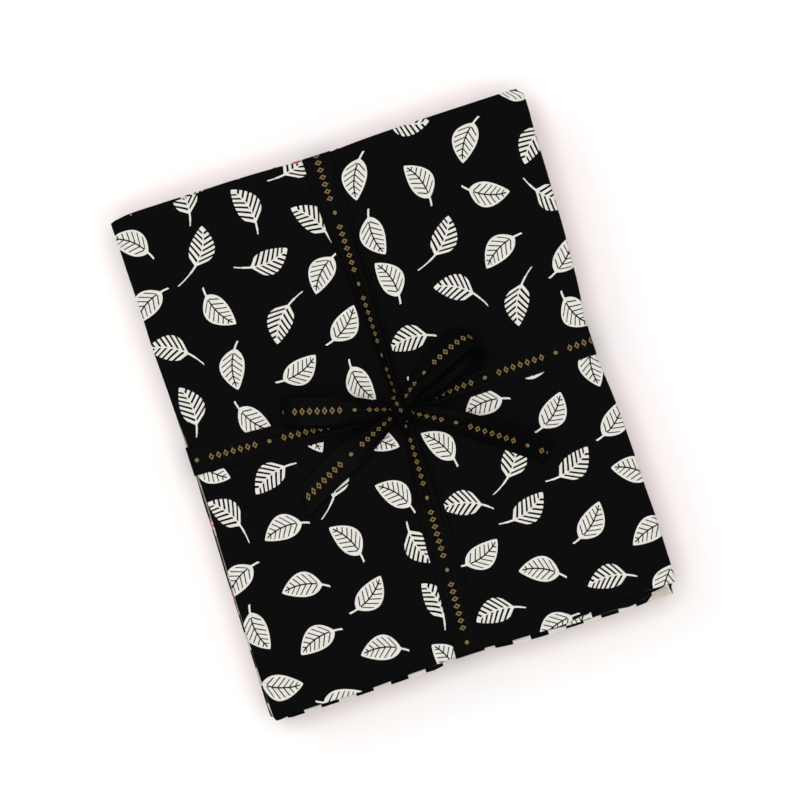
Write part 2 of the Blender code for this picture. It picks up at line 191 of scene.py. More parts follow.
PLY_RIPPLE_LENGTH = 0.6 * EDGE_RIPPLE_LENGTH
EDGE_RIPPLE_REACH = 14 * MM
PLY_RIPPLE = 0.07 * MM
FLOOR_GAP = 0.02 * MM
SMOOTH_UP_TO_DEG = 50

# An uneven wave is three sines: the share of each, its pace, its shift for each seed, and its start.
RIPPLE_SINES = ((0.5, 1.0, 2.4, 0), (0.3, 1.7, 5.1, 1), (0.2, 3.1, 7.7, 2))


def between(low, high, share):
    """Low at share 0, high at share 1."""
    return low + (high - low) * share


def along_centre(y):
    """X of the middle of the ribbon's run along the bundle, where it lies straight."""
    return between(ALONG_X_AT_NEAR_EDGE, ALONG_X_AT_FAR_EDGE, y / FOLDED_LENGTH + 0.5)


def across_centre(x):
    """Y of the middle of the ribbon's run across the bundle, where it lies straight."""
    return between(ACROSS_Y_AT_LEFT_EDGE, ACROSS_Y_AT_RIGHT_EDGE, x / FOLDED_WIDTH + 0.5)


def drawn_in(draw, distance, held_in=0.0):
    """How far an edge is drawn in at a distance from the ribbon's centre."""
    past = np.maximum(np.abs(distance) - DRAW_FLAT, 0)
    return (draw.depth + held_in * MM) * np.exp(-past / draw.fade)


def side_edge(lie, side, y):
    """X of a piece's left (side -1) or right (side 1) edge at y."""
    reach = (FOLDED_WIDTH + (lie.wider + lie.spread * y / FOLDED_LENGTH) * MM) / 2
    draw = DRAWN_IN_RIGHT if side > 0 else DRAWN_IN_LEFT
    lean = -math.tan(math.radians(lie.turn)) * y
    return lie.shift_x * MM + side * (reach - drawn_in(draw, y - across_centre(side * reach))) + lean


def end_edge(lie, side, x):
    """Y of a piece's near (side -1) or far (side 1) edge at x."""
    reach = (FOLDED_LENGTH + lie.longer * MM) / 2
    lean = math.tan(math.radians(lie.turn + lie.askew)) * x
    distance = x - along_centre(side * reach)
    depth = drawn_in(DRAWN_IN_FAR, distance) if side > 0 else drawn_in(DRAWN_IN_NEAR, distance, lie.held_in)
    if side < 0:
        past = np.maximum(x - DRAW_BACK_FROM, 0) / (FOLDED_WIDTH / 2 - DRAW_BACK_FROM)
        lean = lean + lie.draw_back * MM * past**DRAW_BACK_POWER
    return lie.shift_y * MM + side * (reach - depth) + lean


def pressed_share(x, y):
    """How much of the dip in the stack's top is there: 1 under the ribbon's cross, and 0 far from it."""
    def one(distance):
        return np.exp(-(np.maximum(np.abs(distance) - DIP_FLAT, 0) / DIP_FADE) ** DIP_FADE_POWER)

    # The greater of the two, but with no sharp line where they meet.
    along, across = one(x - along_centre(y)), one(y - across_centre(x))
    return ((along**4 + across**4) / (1 + (along * across) ** 4)) ** 0.25


def groove_share(x, y):
    """How much of the groove in the stack's underside is there, where the ribbon passes below it."""
    def one(distance):
        return 1 / (1 + np.exp((np.abs(distance) - GROOVE_REACH) / GROOVE_FADE))

    return np.maximum(one(x - along_centre(y)), one(y - across_centre(x)))


def ripple(seed, place, length):
    """A gentle uneven wave along place, from -1 to 1, its own for each seed."""
    turns = 2 * math.pi * place / length
    return sum(share * np.sin(pace * turns + shift * seed + start)
               for share, pace, shift, start in RIPPLE_SINES)


def creased(x, y):
    """How deep the stack's top is creased at x, y."""
    depth = np.zeros_like(x)
    for crease in CREASES:
        run_x, run_y = (crease.x1 - crease.x0) * MM, (crease.y1 - crease.y0) * MM
        length = math.hypot(run_x, run_y)
        from_x, from_y = x - crease.x0 * MM, y - crease.y0 * MM
        along = (from_x * run_x + from_y * run_y) / length**2
        off = (from_x * run_y - from_y * run_x) / length
        ends = np.clip(along, 0, 1)
        taper = np.sin(np.pi * between(CREASE_START, 1, ends)) ** CREASE_TAPER
        beyond = np.abs(along - ends) * length
        width = crease.width * MM * between(CREASE_NARROW_END, CREASE_WIDE_END, ends)
        depth += crease.depth * MM * taper * np.exp(-((off / width) ** 2) - (beyond / CREASE_END_FADE) ** 2)
    return depth


def pressed(height, x, y):
    """The height that a level of the loose stack has once it is tied."""
    share = pressed_share(x, y)
    low = GROOVE_DEPTH * groove_share(x, y)
    waves = ripple(3, x + 0.4 * y, WAVE_LENGTH_ACROSS) * ripple(5, y - 0.3 * x, WAVE_LENGTH_ALONG)
    high = STACK_HEIGHT - TOP_DIP * share - (creased(x, y) - WAVE_DEPTH * waves) * (1 - share)
    to_side = FOLDED_WIDTH / 2 - np.abs(x)
    to_end = FOLDED_LENGTH / 2 - np.abs(y)
    slump = between(EDGE_SLUMP, EDGE_SLUMP_UNDER_RIBBON, share)
    rim = np.exp(-np.maximum(to_side, 0) / SLUMP_FADE) + np.exp(-np.maximum(to_end, 0) / SLUMP_FADE)
    level = height / STACK_HEIGHT
    return between(low, high, level) - slump * np.minimum(rim, 1.0) * level**SLUMP_POWER


def grid_lines(*stops):
    """Places from 0 up, from stop to stop: each stop is (place, longest step on the way to it)."""
    places = [0.0]
    for place, step in stops:
        count = max(1, math.ceil((place - places[-1]) / step))
        places += list(np.linspace(places[-1], place, count + 1)[1:])
    return np.array(places)


def thin_cloth(name, points, quads, cut_places, thickness, materials):
    """Cloth of a thickness round its middle surface, with its face, wrong side and cut edge as materials."""
    mesh = bpy.data.meshes.new(name)
    mesh.from_pydata(points, [], quads)
    layer = mesh.uv_layers.new(name="cut")
    layer.uv.foreach_set("vector", np.array(cut_places)[np.ravel(quads)].ravel())
    for material in materials:
        mesh.materials.append(material)
    cloth = bpy.data.objects.new(name, mesh)
    bpy.context.scene.collection.objects.link(cloth)
    shell = cloth.modifiers.new("thickness", "SOLIDIFY")
    shell.thickness = thickness
    shell.offset = 0.0
    shell.material_offset = 1
    shell.material_offset_rim = 2
    return cloth


def smooth_sheet(name, points, across_count, cut_places, materials):
    """A closed sheet of cotton on a grid of points, smooth but for its cut edges."""
    count = len(points) // across_count
    at = np.arange(count * across_count).reshape(count, across_count)
    quads = np.stack([at[:-1, :-1], at[:-1, 1:], at[1:, 1:], at[1:, :-1]], axis=-1).reshape(-1, 4)
    sheet = thin_cloth(name, points.tolist(), quads.tolist(), cut_places, PLY, materials)
    flat_mesh = sheet.data
    solid = bpy.data.meshes.new_from_object(sheet.evaluated_get(bpy.context.evaluated_depsgraph_get()))
    sheet.modifiers.clear()
    sheet.data = solid
    bpy.data.meshes.remove(flat_mesh)
    solid.name = name
    solid.shade_smooth()
    solid.set_sharp_from_angle(angle=math.radians(SMOOTH_UP_TO_DEG))
    return sheet


def folded_cloth(index, across_lines, along_lines):
    """Points of a fat quarter, folded twice in its place in the stack, and where they are on the flat cut."""
    lie = LIES[index]
    cut_x, cut_y = np.meshgrid(across_lines, along_lines, indexing="ij")

    # The first fold is a pressed hairpin at the far edge. inner runs from -1, the outer ply, to 1.
    turn = np.clip((cut_y - FOLDED_LENGTH) / HAIRPIN, -math.pi / 2, math.pi / 2)
    inner = np.sin(turn)
    from_far = np.abs(cut_y - FOLDED_LENGTH) - HAIRPIN * np.abs(turn)
    far_bulge = HAIRPIN * np.cos(turn)

    # The second fold takes both plies round the right side, the inner one on a tighter turn.
    radius = FOLD_RADIUS - HAIRPIN * inner
    bend = np.clip((cut_x - FOLDED_WIDTH) / radius, -math.pi / 2, math.pi / 2)
    from_fold = np.abs(cut_x - FOLDED_WIDTH) - radius * np.abs(bend)
    fold_bulge = radius * np.cos(bend)
    upper = np.sin(bend)

    flat_x = FOLDED_WIDTH / 2 - FOLD_RADIUS - HAIRPIN - PLY / 2 + fold_bulge - from_fold
    flat_y = FOLDED_LENGTH / 2 - HAIRPIN - PLY / 2 + far_bulge - from_far
    share_x = flat_x / FOLDED_WIDTH + 0.5
    share_y = flat_y / FOLDED_LENGTH + 0.5
    x = between(side_edge(lie, -1, flat_y), side_edge(lie, 1, flat_y), share_x)
    y = between(end_edge(lie, -1, flat_x), end_edge(lie, 1, flat_x), share_y)

    # How near a point is to each edge.
    near_left = np.exp(-np.maximum(share_x * FOLDED_WIDTH, 0) / EDGE_RIPPLE_REACH)
    near_end = np.exp(-np.maximum(share_y * FOLDED_LENGTH, 0) / EDGE_RIPPLE_REACH)
    near_far = np.exp(-from_far / EDGE_RIPPLE_REACH)
    near_fold = np.exp(-from_fold / EDGE_RIPPLE_REACH)

    # Each edge moves x or y, by how far along the other one a reach is.
    edges = {
        "left": (x, y, -near_left),
        "right": (x, y, near_fold),
        "near": (y, x, -near_end),
        "far": (y, x, near_far),
    }
    for reach in REACHES:
        if reach.first <= index + 1 <= reach.last:
            moved, place, nearness = edges[reach.edge]
            out = reach.out * MM * np.exp(-((place - reach.place * MM) / (reach.width * MM)) ** 4)
            out = out * (1 + reach.upper * upper) * (1 + reach.inner * inner)
            moved += out / (1 + abs(reach.upper)) / (1 + abs(reach.inner)) * nearness

    # Edges wander a little, each ply in its own way. What is added to a seed gives each wave its own start.
    def by_ply(seed, place, length):
        plies = ((0, 1 - inner), (11, 1 + inner), (23, 1 - upper), (37, 1 + upper))
        return sum(ripple(seed + shift, place, length) * share / 2 for shift, share in plies)

    x += EDGE_RIPPLE * near_left * by_ply(index, y, EDGE_RIPPLE_LENGTH)
    y += EDGE_RIPPLE * near_end * by_ply(index + 50, x, EDGE_RIPPLE_LENGTH)
    x += EDGE_RIPPLE * near_fold * ripple(index + 90, y, FOLD_RIPPLE_LENGTH)
    loose_edge = np.maximum(near_left, near_end)
    height = index * PITCH + PIECE_HEIGHT / 2 + radius * upper
    height += PLY_RIPPLE * loose_edge * by_ply(index + 130, x + y, PLY_RIPPLE_LENGTH)
    height = np.maximum(height, PLY / 2 + FLOOR_GAP)
    z = pressed(height, x, y)
    points = np.stack([x, y, z], axis=-1).reshape(-1, 3) + BUNDLE_SHIFT
    return points, np.stack([cut_x, cut_y], axis=-1).reshape(-1, 2)


def bundle_shift():
    """From the middle of the loose stack, which the tables are measured from, to the frame's origin."""
    low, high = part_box(f"fat_quarter_{STACK_COUNT:02d}")
    lie = LIES[-1]
    sides = [side_edge(lie, side, end * FOLDED_LENGTH / 2) for side in (-1, 1) for end in (-1, 1)]
    ends = [end_edge(lie, end, side * FOLDED_WIDTH / 2) for side in (-1, 1) for end in (-1, 1)]
    return np.array([
        (low.x + high.x - min(sides) - max(sides)) / 2,
        (low.y + high.y - min(ends) - max(ends)) / 2,
        0.0,
    ])


BUNDLE_SHIFT = bundle_shift()

# --- The cottons of the lower fat quarters -----------------------------------------------------------------
# Quilting cotton is a plain weave of about 27 threads a centimetre, printed on its face. Only the edges of
# these eleven show, so each has a small common print: dots, stripes, little flowers or none.

# The threads are 0.37 mm apart, which is too fine to show, so they are drawn twice as coarse (mm).
DRAWN_THREAD_SPACING = 0.75
THREAD_RELIEF = 0.12 * MM
FRAYED_RELIEF = 0.2 * MM
MOTTLE = 0.08
WEAVE_SHARE = 0.35
SLUB_STRETCHES = ((0.12, 1.6, 1.0), (1.6, 0.12, 1.0))
BLACK = "#0A0A0B"
CREAM = "#DBD8D0"
RED = "#C8323C"
PINK = "#EE8698"
ORANGE = "#EE7A35"
MAGENTA = "#C93C80"
GREIGE = "#CFC8BA"


def linear(hex_colour):
    """An sRGB hex colour as the linear colour that a shader takes."""
    channels = [int(hex_colour[at:at + 2], 16) / 255 for at in (1, 3, 5)]
    return (*(c / 12.92 if c <= 0.04045 else ((c + 0.055) / 1.055) ** 2.4 for c in channels), 1.0)


def wire(tree, node, inputs):
    """Puts values, sockets or whole nodes, which stand for their first output in use, on a node's inputs."""
    for key, value in inputs.items() if isinstance(inputs, dict) else enumerate(inputs):
        if isinstance(value, bpy.types.Node):
            value = next(socket for socket in value.outputs if socket.enabled)
        if isinstance(value, bpy.types.NodeSocket):
            tree.links.new(value, node.inputs[key])
        else:
            node.inputs[key].default_value = value


def add(tree, kind, inputs=(), operation=None, **settings):
    """Adds one shader node with its settings and links. A colour Mix has its colours on inputs 6 and 7."""
    node = tree.nodes.new(f"ShaderNode{kind}")
    if operation:
        node.operation = operation
    for name, value in settings.items():
        setattr(node, name, value)
    wire(tree, node, inputs)
    return node


def cloth_material(name):
    """An empty material, its tree, its shader, and the cut's own coordinates in millimetres."""
    material = bpy.data.materials.new(name)
    material.use_nodes = True
    tree = material.node_tree
    cut = add(tree, "UVMap", uv_map="cut")
    scaled = add(tree, "VectorMath", {0: cut, "Scale": 1 / MM}, "SCALE")
    return material, tree, tree.nodes["Principled BSDF"], scaled


def plain_weave(tree, place):
    """Height of a plain weave, over and under, with slubs where a thread is thicker."""
    split = add(tree, "SeparateXYZ", [place])
    waves = []
    for axis in (0, 1):
        turns = add(tree, "Math", [split.outputs[axis], math.pi / DRAWN_THREAD_SPACING], "MULTIPLY")
        waves.append(add(tree, "Math", [turns], "SINE"))
    weave = add(tree, "Math", waves, "MULTIPLY")
    slubs = []
    for stretch in SLUB_STRETCHES:
        long = add(tree, "VectorMath", [place, stretch], "MULTIPLY")
        slubs.append(add(tree, "TexNoise", {"Vector": long, "Scale": 1.0, "Detail": 2.0}))
    both = add(tree, "Math", slubs, "ADD")
    return add(tree, "Math", [weave, WEAVE_SHARE, both], "MULTIPLY_ADD")


def finish_cotton(tree, shader, place, colour, depth):
    """Matt woven cotton in a colour: uneven threads with painted shade where the weave dips and painted light
    where it rises, and a soft nap that catches light at a slant.
    """
    weave = plain_weave(tree, place)
    # The colour follows the weave's height: painted shade where the threads dip and painted light where they
    # rise, which also gives the slubs an uneven tone.
    weave_shade_and_slub_tone = add(tree, "MapRange", {"Value": weave, "From Min": 0.6, "From Max": 1.4,
                                   "To Min": 0.86, "To Max": 1.10})
    tint = add(tree, "VectorMath", {0: colour, "Scale": weave_shade_and_slub_tone}, "SCALE")
    bump = add(tree, "Bump", {"Height": weave, "Strength": 0.5, "Distance": depth})
    wire(tree, shader, {"Base Color": tint, "Normal": bump, "Roughness": 0.88, "IOR": 1.5,
                        "Specular IOR Level": 0.02, "Sheen Weight": 0.02, "Sheen Roughness": 0.45})


def plain(tree, place, ground):
    """No print: the ground alone."""
    node = add(tree, "RGB")
    node.outputs[0].default_value = ground
    return node


def cotton(name, ground, draw=plain, paleness=0.38):
    """Face, wrong side and cut edge of a cotton. draw gives the colour of the face.

    paleness is how much less of the ink shows on the wrong side.
    """
    face, tree, shader, place = cloth_material(f"{name}_cotton_face")
    finish_cotton(tree, shader, place, draw(tree, place, linear(ground)), THREAD_RELIEF)

    # Ink soaks only partly through, so the wrong side is a greyer, mottled ghost of the face.
    wrong, tree, shader, place = cloth_material(f"{name}_cotton_wrong_side")
    colour = draw(tree, place, linear(ground))
    soak = add(tree, "TexNoise", {"Vector": place, "Scale": 0.9, "Detail": 3.0})
    share = add(tree, "MapRange", {"Value": soak, "From Min": 0.3, "From Max": 0.7,
                                   "To Min": paleness - MOTTLE, "To Max": paleness + MOTTLE})
    pale = add(tree, "Mix", {0: share, 6: colour, 7: linear(GREIGE)}, data_type="RGBA")
    finish_cotton(tree, shader, place, pale, THREAD_RELIEF)

    # The cut edge is the undyed heart of the threads, with flecks of the ink.
    edge, tree, shader, place = cloth_material(f"{name}_cotton_cut_edge")
    flecks = add(tree, "TexNoise", {"Vector": place, "Scale": 1.3, "Detail": 4.0})
    share = add(tree, "MapRange", {"Value": flecks, "From Min": 0.35, "From Max": 0.65,
                                   "To Min": 0.15, "To Max": 0.60})
    frayed = add(tree, "Mix", {0: share, 6: linear(ground), 7: linear(GREIGE)}, data_type="RGBA")
    finish_cotton(tree, shader, place, frayed, FRAYED_RELIEF)
    return face, wrong, edge


HALF_A_CELL_BACK = (-0.5, -0.5, 0.0)
IN_THE_PLANE = (1.0, 1.0, 0.0)


def tossed(tree, place, pitch, wander):
    """Splits the cloth into cells of pitch mm, every second column half a cell on, each with a tossed motif.

    Gives the place in the motif's own turned frame, in mm, and three random numbers of the cell.
    """
    scaled = add(tree, "VectorMath", {0: place, "Scale": 1 / pitch}, "SCALE")
    split = add(tree, "SeparateXYZ", [scaled])
    column = add(tree, "Math", [split.outputs[0]], "FLOOR")
    odd = add(tree, "Math", [column, 2.0], "FLOORED_MODULO")
    moved = add(tree, "Math", [odd, 0.5, split.outputs[1]], "MULTIPLY_ADD")
    row = add(tree, "Math", [moved], "FLOOR")
    cell = add(tree, "CombineXYZ", [column, row])
    here = add(tree, "CombineXYZ", [split.outputs[0], moved])
    inside = add(tree, "VectorMath", [here, cell], "SUBTRACT")
    noise = add(tree, "TexWhiteNoise", {"Vector": cell}, noise_dimensions="2D")
    centred = add(tree, "VectorMath", [inside, HALF_A_CELL_BACK], "ADD")
    random = add(tree, "VectorMath", [noise.outputs["Color"], HALF_A_CELL_BACK], "ADD")
    astray = add(tree, "VectorMath", {0: random, "Scale": wander / pitch}, "SCALE")
    placed = add(tree, "VectorMath", [centred, astray], "ADD")
    size = add(tree, "VectorMath", {0: placed, "Scale": pitch}, "SCALE")
    numbers = add(tree, "SeparateXYZ", [noise.outputs["Color"]])
    angle = add(tree, "Math", [numbers.outputs[2], 2 * math.pi], "MULTIPLY")
    turned = add(tree, "VectorRotate", {"Vector": size, "Angle": angle}, rotation_type="Z_AXIS")
    return turned, numbers.outputs


def dots(ink, spacing, size, start=(0.0, 0.0, 0.0)):
    """A print of round dots on a half-drop, size mm across, beginning at start."""
    def draw(tree, place, ground):
        moved = add(tree, "VectorMath", [place, start], "ADD")
        spot, _ = tossed(tree, moved, spacing, 0.0)
        flat = add(tree, "VectorMath", [spot, IN_THE_PLANE], "MULTIPLY")
        out = add(tree, "VectorMath", [flat], "LENGTH")
        inside = add(tree, "Math", [out, size / 2], "LESS_THAN")
        return add(tree, "Mix", {0: inside, 6: ground, 7: linear(ink)}, data_type="RGBA")
    return draw


def printed_twice(first, second):
    """One print over another."""
    def draw(tree, place, ground):
        return second(tree, place, first(tree, place, ground))
    return draw


def stripes(ink, spacing, width):
    """A print of stripes along the cut, width mm wide."""
    def draw(tree, place, ground):
        split = add(tree, "SeparateXYZ", [place])
        on = add(tree, "Math", [split.outputs[1], spacing], "FLOORED_MODULO")
        inside = add(tree, "Math", [on, width], "LESS_THAN")
        return add(tree, "Mix", {0: inside, 6: ground, 7: linear(ink)}, data_type="RGBA")
    return draw


PETALS = 5
PETAL_REACH = 0.38
PETAL_DEPTH = 0.12
HEART_REACH = 0.13
FLOWER_WANDER = 1 / 16


def flowers(first_ink, second_ink, spacing, size):
    """A print of small round-petalled flowers in two inks, size mm across."""
    def draw(tree, place, ground):
        spot, numbers = tossed(tree, place, spacing, spacing * FLOWER_WANDER)
        split = add(tree, "SeparateXYZ", [spot])
        angle = add(tree, "Math", [split.outputs[1], split.outputs[0]], "ARCTAN2")
        turns = add(tree, "Math", [angle, PETALS], "MULTIPLY")
        lobes = add(tree, "Math", [turns], "COSINE")
        reach = add(tree, "Math", [lobes, PETAL_DEPTH * size, PETAL_REACH * size], "MULTIPLY_ADD")
        flat = add(tree, "VectorMath", [spot, IN_THE_PLANE], "MULTIPLY")
        out = add(tree, "VectorMath", [flat], "LENGTH")
        petal = add(tree, "Math", [out, reach], "LESS_THAN")
        heart = add(tree, "Math", [out, HEART_REACH * size], "LESS_THAN")
        which = add(tree, "Math", [numbers[0], 0.5], "GREATER_THAN")
        ink = add(tree, "Mix", {0: which, 6: linear(first_ink), 7: linear(second_ink)}, data_type="RGBA")
        printed = add(tree, "Mix", {0: petal, 6: ground, 7: ink}, data_type="RGBA")
        return add(tree, "Mix", {0: heart, 6: printed, 7: linear(CREAM)}, data_type="RGBA")
    return draw


LOWER_COTTONS = (
    cotton("black_with_cream_dots", BLACK, dots(CREAM, 7.0, 1.8)),
    cotton("cream_with_black_dots", CREAM, dots(BLACK, 9.0, 2.2)),
    cotton("red_with_cream_flowers", RED, flowers(CREAM, PINK, 16.0, 9.0)),
    cotton("pink_with_red_dots", PINK, dots(RED, 6.0, 2.0)),
    cotton("black_with_orange_stripes", BLACK, stripes(ORANGE, 12.0, 2.0)),
    cotton("orange_with_cream_dots", ORANGE, dots(CREAM, 8.0, 2.4)),
    cotton("cream_with_red_flowers", CREAM, flowers(RED, ORANGE, 18.0, 11.0)),
    cotton("magenta_with_pink_stripes", MAGENTA, stripes(PINK, 7.0, 1.6)),
    cotton("pink_with_cream_flowers", PINK, flowers(CREAM, MAGENTA, 14.0, 8.0)),
    cotton("red", RED),
    cotton("black_with_two_dots", BLACK, printed_twice(dots(MAGENTA, 39.6, 3.8, (-1.8, 9.15, 0.0)),
                                                       dots(ORANGE, 39.6, 3.0, (-1.8, 12.3, 0.0)))),
)

# The grid of a piece that is mostly hidden is fine only at its cut edges, round its folds and where the
# ribbon crosses it.
HIDDEN_ACROSS_LINES = grid_lines(
    (2 * MM, 1 * MM), (92 * MM, 9 * MM), (134 * MM, 3.5 * MM), (FOLDED_WIDTH - 7 * MM, 9 * MM),
    (FOLDED_WIDTH - 1.7 * MM, 2.7 * MM), (FOLDED_WIDTH + 1.7 * MM, 0.35 * MM),
    (FOLDED_WIDTH + 7 * MM, 2.7 * MM), (323 * MM, 9 * MM), (365 * MM, 3.5 * MM),
    (CUT_WIDTH - 2 * MM, 9 * MM), (CUT_WIDTH, 1 * MM),
)
HIDDEN_ALONG_LINES = grid_lines(
    (2 * MM, 1 * MM), (118 * MM, 9 * MM), (160 * MM, 3.5 * MM), (FOLDED_LENGTH - 4 * MM, 9 * MM),
    (FOLDED_LENGTH - 0.6 * MM, 1.7 * MM), (FOLDED_LENGTH + 0.6 * MM, 0.2 * MM),
    (FOLDED_LENGTH + 4 * MM, 1.7 * MM), (392 * MM, 9 * MM), (434 * MM, 3.5 * MM),
    (CUT_LENGTH - 2 * MM, 9 * MM), (CUT_LENGTH, 1 * MM),
)


def lay_fat_quarter(index, materials, across_lines, along_lines):
    """Makes one folded fat quarter in its place, in the stead of its plain solid."""
    node = f"fat_quarter_{index + 1:02d}"
    points, cut_places = folded_cloth(index, across_lines, along_lines)
    piece = smooth_sheet(f"{node}_cloth", points, len(along_lines), cut_places, materials)
    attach(piece, "root")
    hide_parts(node)


for index, materials in enumerate(LOWER_COTTONS):
    lay_fat_quarter(index, materials, HIDDEN_ACROSS_LINES, HIDDEN_ALONG_LINES)

# --- The checked fat quarter -------------------------------------------------------------------------------
# The second piece from the top is a cotton printed in black and cream squares (mm). It lies a little askew,
# so that a strip of it shows below the top piece's near edge.

CHECK_SQUARE = 9.974
CHECK_START = (-0.82, 0.0, 0.0)
CHECK_PALENESS = 0.85


def checks(tree, place, ground):
    """Squares of cream on the black ground."""
    moved = add(tree, "VectorMath", [place, CHECK_START], "ADD")
    board = add(tree, "TexChecker", {"Vector": moved, "Scale": 1 / CHECK_SQUARE})
    return add(tree, "Mix", {0: board.outputs["Fac"], 6: ground, 7: linear(CREAM)}, data_type="RGBA")


lay_fat_quarter(11, cotton("black_and_cream_check", BLACK, checks, CHECK_PALENESS),
                HIDDEN_ACROSS_LINES, HIDDEN_ALONG_LINES)

# --- The top fat quarter -----------------------------------------------------------------------------------
# The top piece is a black cotton with a tossed print of cream leaves and ferns, about 25 mm long (all of its
# sizes are in mm). The print runs on round the folds, as it does on the real cloth.

LEAF_CELL = 31.0
LEAF_WANDER = 4.5
LEAF_START = (0.0, 62.0, 0.0)
LEAF_FORWARD = 2.0
LEAF_ASIDE = 1.2
LEAF_BEND = 0.018
LEAF_HALF_LENGTH = 11.0
LEAF_HALF_WIDTH = 6.6
LEAF_BLUNTNESS = 0.8
LEAF_TAPER = -0.28
VEIN_SLANT = -0.8
VEIN_SPACING = 3.1
VEIN_SHARE = 0.24
VEIN_INSET = 1.1
LAST_VEIN = 2.42 * VEIN_SPACING
GAP_SHARE = 0.42
MIDRIB_HALF_WIDTH = 0.38
MIDRIB_END = 9.2
STEM_HALF_WIDTH = 0.55
STEM_FROM = -15.0
STEM_TO = -8.5
SHARE_OF_LEAVES = 0.62


def leaves(tree, place, ground):
    """Cream leaves with dark veins, and ferns of separate leaflets, tossed every way."""
    moved = add(tree, "VectorMath", [place, LEAF_START], "ADD")
    spot, numbers = tossed(tree, moved, LEAF_CELL, LEAF_WANDER)
    split = add(tree, "SeparateXYZ", [spot])
    along = add(tree, "Math", [split.outputs[0], LEAF_FORWARD], "SUBTRACT")
    square = add(tree, "Math", [along, along], "MULTIPLY")
    curve = add(tree, "Math", [square, LEAF_BEND, split.outputs[1]], "MULTIPLY_ADD")
    off = add(tree, "Math", [curve, LEAF_ASIDE], "SUBTRACT")
    side = add(tree, "Math", [off], "ABSOLUTE")

    # The blade's outline: broadest nearer the stem, drawn to a point at both ends.
    share = add(tree, "Math", [along, LEAF_HALF_LENGTH], "DIVIDE")
    squared = add(tree, "Math", [share, share], "MULTIPLY")
    left = add(tree, "Math", [1.0, squared], "SUBTRACT", use_clamp=True)
    round_end = add(tree, "Math", [left, LEAF_BLUNTNESS], "POWER")
    taper = add(tree, "Math", [share, LEAF_TAPER, 1.0], "MULTIPLY_ADD")
    outline = add(tree, "Math", [round_end, taper], "MULTIPLY")
    width = add(tree, "Math", [outline, LEAF_HALF_WIDTH], "MULTIPLY")
    blade = add(tree, "Math", [side, width], "LESS_THAN")

    # Side veins slant forward from a midrib and stop short of the outline.
    slant = add(tree, "Math", [side, VEIN_SLANT, along], "MULTIPLY_ADD")
    on = add(tree, "Math", [slant, VEIN_SPACING], "DIVIDE")
    part = add(tree, "Math", [on, 1.0], "FLOORED_MODULO")
    before_tip = add(tree, "Math", [slant, LAST_VEIN], "LESS_THAN")
    vein = add(tree, "Math", [part, VEIN_SHARE], "LESS_THAN")
    inner = add(tree, "Math", [width, VEIN_INSET], "SUBTRACT")
    within = add(tree, "Math", [side, inner], "LESS_THAN")
    side_vein = add(tree, "Math", [vein, within], "MULTIPLY")
    side_vein = add(tree, "Math", [side_vein, before_tip], "MULTIPLY")
    midrib = add(tree, "Math", [side, MIDRIB_HALF_WIDTH], "LESS_THAN")
    short = add(tree, "Math", [along, MIDRIB_END], "LESS_THAN")
    rib = add(tree, "Math", [midrib, short], "MULTIPLY")
    dark = add(tree, "Math", [side_vein, rib], "MAXIMUM")
    leaf = add(tree, "Math", [blade, dark], "SUBTRACT", use_clamp=True)

    # A fern's leaflets are the strips between its veins, on a cream midrib, and its tip is one whole leaflet.
    leaflet = add(tree, "Math", [part, GAP_SHARE], "GREATER_THAN")
    tip = add(tree, "Math", [1.0, before_tip], "SUBTRACT")
    leaflet = add(tree, "Math", [leaflet, tip], "MAXIMUM")
    frond = add(tree, "Math", [leaflet, blade], "MULTIPLY")
    fern = add(tree, "Math", [frond, rib], "MAXIMUM")

    # Both have a stem behind the blade.
    thin = add(tree, "Math", [side, STEM_HALF_WIDTH], "LESS_THAN")
    behind = add(tree, "Math", [along, STEM_TO], "LESS_THAN")
    not_far = add(tree, "Math", [along, STEM_FROM], "GREATER_THAN")
    ends = add(tree, "Math", [behind, not_far], "MULTIPLY")
    stem = add(tree, "Math", [thin, ends], "MULTIPLY")
    which = add(tree, "Math", [numbers[0], SHARE_OF_LEAVES], "GREATER_THAN")
    motif = add(tree, "Mix", {0: which, 2: leaf, 3: fern}, data_type="FLOAT")
    printed = add(tree, "Math", [motif, stem], "MAXIMUM")
    return add(tree, "Mix", {0: printed, 6: ground, 7: linear(CREAM)}, data_type="RGBA")


# The grid of the top piece is fine on the whole of its upper leaf, and coarse only where it is hidden.
TOP_ACROSS_LINES = grid_lines(
    (2 * MM, 1 * MM), (FOLDED_WIDTH - 7 * MM, 7 * MM), (FOLDED_WIDTH - 1.7 * MM, 2 * MM),
    (FOLDED_WIDTH + 1.7 * MM, 0.25 * MM), (FOLDED_WIDTH + 7 * MM, 1 * MM), (CUT_WIDTH - 6 * MM, 2 * MM),
    (CUT_WIDTH, 1 * MM),
)
TOP_ALONG_LINES = grid_lines(
    (6 * MM, 1 * MM), (FOLDED_LENGTH - 5 * MM, 2 * MM), (FOLDED_LENGTH - 0.6 * MM, 1 * MM),
    (FOLDED_LENGTH + 0.6 * MM, 0.15 * MM), (FOLDED_LENGTH + 5 * MM, 2 * MM), (CUT_LENGTH - 2 * MM, 7 * MM),
    (CUT_LENGTH, 1 * MM),
)
lay_fat_quarter(12, cotton("black_with_cream_leaves", BLACK, leaves), TOP_ACROSS_LINES, TOP_ALONG_LINES)

# --- The ribbon --------------------------------------------------------------------------------------------
# One cut length of soft black satin ribbon, 16 mm wide, with a row of small gold marks printed on its face.
# It goes once round the stack each way, and is tied on top in a knot with two loops and two cut tails. Near
# the knot it is gathered in lengthwise pleats.

RIBBON_WIDTH = 15.9 * MM
RIBBON_THICK = 0.35 * MM
RIBBON_LIFT = 0.10 * MM
CORNER_RADIUS = 2.0 * MM
EDGE_CLEARANCE = 0.15 * MM
PLEATS = 2
PLEAT_SHARE = 0.45
PLEAT_SKEW = 0.5
ACROSS_STEPS = 24
CORNER_STEPS = 8
RUN_STEP = 1.5 * MM
RUN_SMOOTHING = 15
STEPS_BELOW = 59

